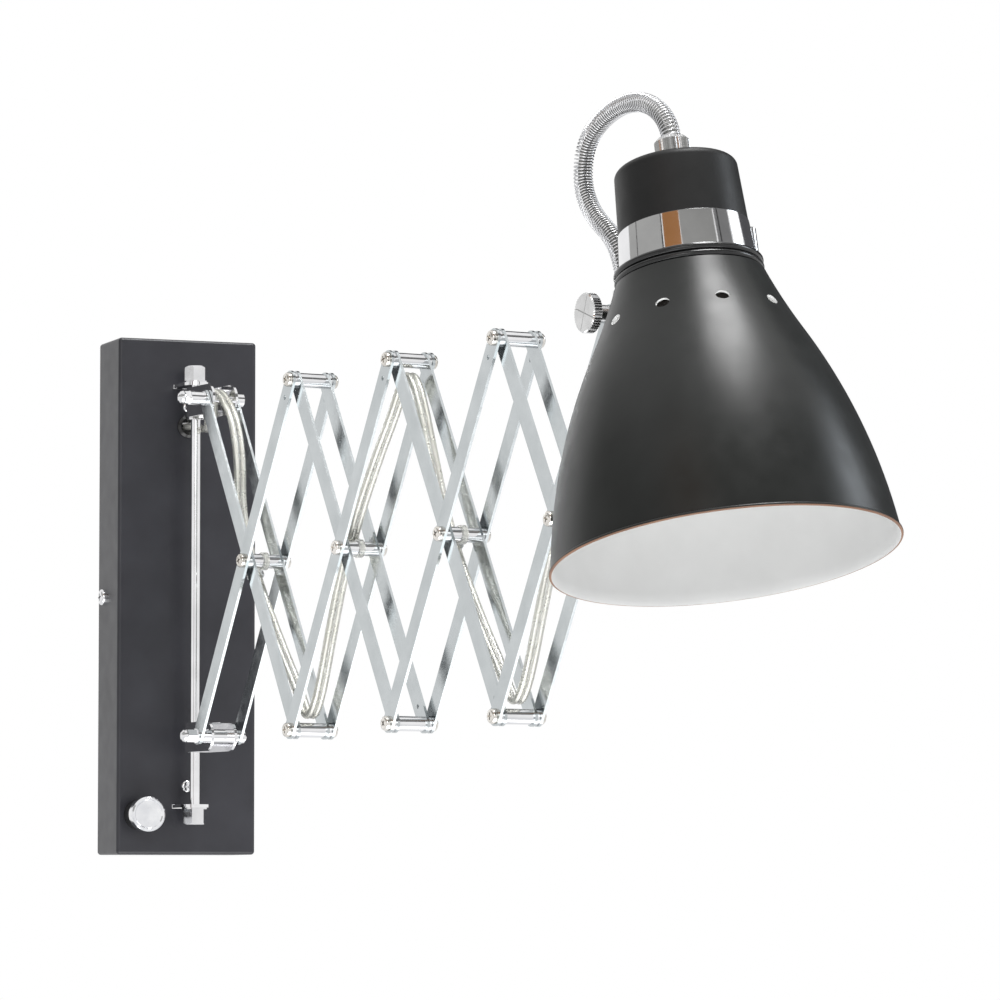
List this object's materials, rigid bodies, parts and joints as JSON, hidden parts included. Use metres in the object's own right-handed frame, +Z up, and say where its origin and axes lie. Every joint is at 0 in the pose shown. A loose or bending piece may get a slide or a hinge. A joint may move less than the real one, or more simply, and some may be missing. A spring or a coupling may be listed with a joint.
{
  "type": "accordion wall lamp",
  "caption": "Wall lamp with a metal bell shade on a scissor arm that folds out, swings on a rod and carries its lead between the bars.",
  "frame": {"origin": "middle of the cover's back, on the wall face of the mounting bracket", "axes": "+Y into the wall, +Z up, +X to the right seen from the room; the arm comes out along -Y"},
  "size_m": [0.2096, 0.703, 0.3722],
  "materials": {
    "bar_chrome": "satin nickel plate",
    "black_plastic": "moulded black",
    "bright_chrome": "bright nickel or chrome plate",
    "cap_black": "satin black",
    "clear_lead": "clear sheathed twin flex",
    "cover_black": "satin black powder coat",
    "holder_white": "white ceramic",
    "shade_black": "satin black powder coat outside, matt white inside",
    "turned_steel": "turned and fluted",
    "zinc_steel": "plain zinc plate"
  },
  "bodies": {
    "wall_mount": {"wall_cover": "cover_black", "mounting_bracket": "zinc_steel", "cover_screws": "bright_chrome", "upper_tab": "bright_chrome", "lower_tab": "bright_chrome", "tab_screws": "bright_chrome", "swing_rod": "bright_chrome", "rod_nuts": "bright_chrome", "retaining_clip": "bright_chrome", "dimmer_body": "black_plastic", "dimmer_nut": "zinc_steel", "terminal_block": "black_plastic", "lead_bushing": "black_plastic", "supply_lead": "clear_lead"},
    "dimmer_knob": {"dimmer_spindle": "zinc_steel", "knob_body": "black_plastic", "knob_cap": "bright_chrome"},
    "upper_bracket": {"upper_clevis": "bright_chrome", "upper_bolt": "bright_chrome", "upper_collars": "bright_chrome", "upper_cap_nut": "bright_chrome", "bracket_lead": "clear_lead"},
    "lower_bracket": {"lower_clevis": "bright_chrome", "lower_bolt": "bright_chrome", "lower_collars": "bright_chrome", "lower_cap_nut": "bright_chrome"},
    "falling_pair_1": {"falling_bars_1": "bar_chrome", "falling_spacers_1": "bright_chrome", "falling_screws_1": "bright_chrome", "falling_lead_1": "clear_lead"},
    "rising_pair_1": {"rising_bars_1": "bar_chrome"},
    "falling_pair_2": {"falling_bars_2": "bar_chrome", "falling_spacers_2": "bright_chrome", "falling_screws_2": "bright_chrome"},
    "rising_pair_2": {"rising_bars_2": "bar_chrome", "rising_lead_2": "clear_lead"},
    "falling_pair_3": {"falling_bars_3": "bar_chrome", "falling_spacers_3": "bright_chrome", "falling_screws_3": "bright_chrome", "falling_lead_3": "clear_lead"},
    "rising_pair_3": {"rising_bars_3": "bar_chrome"},
    "falling_pair_4": {"falling_bars_4": "bar_chrome", "falling_spacers_4": "bright_chrome", "falling_screws_4": "bright_chrome"},
    "rising_pair_4": {"rising_bars_4": "bar_chrome", "rising_lead_4": "clear_lead"},
    "lamp_head": {"head_bracket": "bright_chrome", "tilt_spacers": "bright_chrome", "tilt_screw": "bright_chrome", "clamp_band": "bright_chrome", "bridge_screw": "bright_chrome", "socket_cap": "cap_black", "collar_ring": "black_plastic", "shade": "shade_black", "lampholder": "holder_white", "hose_gland": "turned_steel", "spring_hose": "turned_steel", "hose_ferrule": "turned_steel"},
    "tilt_knob": {"thumb_screw": "turned_steel"}
  },
  "joints": [
    {"name": "arm_swing", "type": "hinge", "parent": "wall_mount", "child": "upper_bracket", "pos_m": [0, -0.053, 0.111], "axis": [0, 0, 1], "range_deg": [-68, 52]},
    {"name": "arm_fold", "type": "hinge", "parent": "upper_bracket", "child": "falling_pair_1", "pos_m": [0.00417, -0.08271, 0.111], "axis": [-0.9903, -0.1392, 0], "range_deg": [-10.5, 19.5]},
    {"name": "bend_low_1", "type": "hinge", "parent": "falling_pair_1", "child": "rising_pair_2", "pos_m": [0.02007, -0.19579, -0.08287], "axis": [-0.9903, -0.1392, 0], "range_deg": [-39.01, 21.01]},
    {"name": "bend_top_2", "type": "hinge", "parent": "rising_pair_2", "child": "falling_pair_3", "pos_m": [0.03596, -0.30888, 0.111], "axis": [-0.9903, -0.1392, 0], "range_deg": [-21.01, 39.01]},
    {"name": "bend_low_3", "type": "hinge", "parent": "falling_pair_3", "child": "rising_pair_4", "pos_m": [0.05185, -0.42196, -0.08287], "axis": [-0.9903, -0.1392, 0], "range_deg": [-39.01, 21.01]},
    {"name": "cross_1", "type": "hinge", "parent": "falling_pair_1", "child": "rising_pair_1", "pos_m": [0.01212, -0.13925, 0.01407], "axis": [-0.9903, -0.1392, 0], "range_deg": [-39.01, 21.01]},
    {"name": "cross_2", "type": "hinge", "parent": "rising_pair_2", "child": "falling_pair_2", "pos_m": [0.02802, -0.25233, 0.01407], "axis": [-0.9903, -0.1392, 0], "range_deg": [-21.01, 39.01]},
    {"name": "cross_3", "type": "hinge", "parent": "falling_pair_3", "child": "rising_pair_3", "pos_m": [0.04391, -0.36542, 0.01407], "axis": [-0.9903, -0.1392, 0], "range_deg": [-39.01, 21.01]},
    {"name": "cross_4", "type": "hinge", "parent": "rising_pair_4", "child": "falling_pair_4", "pos_m": [0.0598, -0.47851, 0.01407], "axis": [-0.9903, -0.1392, 0], "range_deg": [-21.01, 39.01]},
    {"name": "rod_slide", "type": "hinge", "parent": "rising_pair_1", "child": "lower_bracket", "pos_m": [0.00417, -0.08271, -0.08287], "axis": [-0.9903, -0.1392, 0], "range_deg": [-10.51, 19.51]},
    {"name": "head_tilt", "type": "hinge", "parent": "rising_pair_4", "child": "lamp_head", "pos_m": [0.06775, -0.53505, 0.111], "axis": [-0.9903, -0.1392, 0], "range_deg": [-25, 30]},
    {"name": "tilt_lock", "type": "hinge", "parent": "lamp_head", "child": "tilt_knob", "pos_m": [0.04794, -0.53783, 0.111], "axis": [0.9903, 0.1392, 0], "range_deg": [0, 540]},
    {"name": "dimmer_turn", "type": "hinge", "parent": "wall_mount", "child": "dimmer_knob", "pos_m": [-0.029, -0.038, -0.127], "axis": [0, -1, 0], "range_deg": [-150, 150]}
  ],
  "couplings": [
    {"joint": "bend_low_1", "follows": "arm_fold", "ratio": -2},
    {"joint": "bend_top_2", "follows": "arm_fold", "ratio": 2},
    {"joint": "bend_low_3", "follows": "arm_fold", "ratio": -2},
    {"joint": "cross_1", "follows": "arm_fold", "ratio": -2},
    {"joint": "cross_2", "follows": "arm_fold", "ratio": 2},
    {"joint": "cross_3", "follows": "arm_fold", "ratio": -2},
    {"joint": "cross_4", "follows": "arm_fold", "ratio": 2},
    {"joint": "rod_slide", "follows": "arm_fold", "ratio": 1}
  ]
}
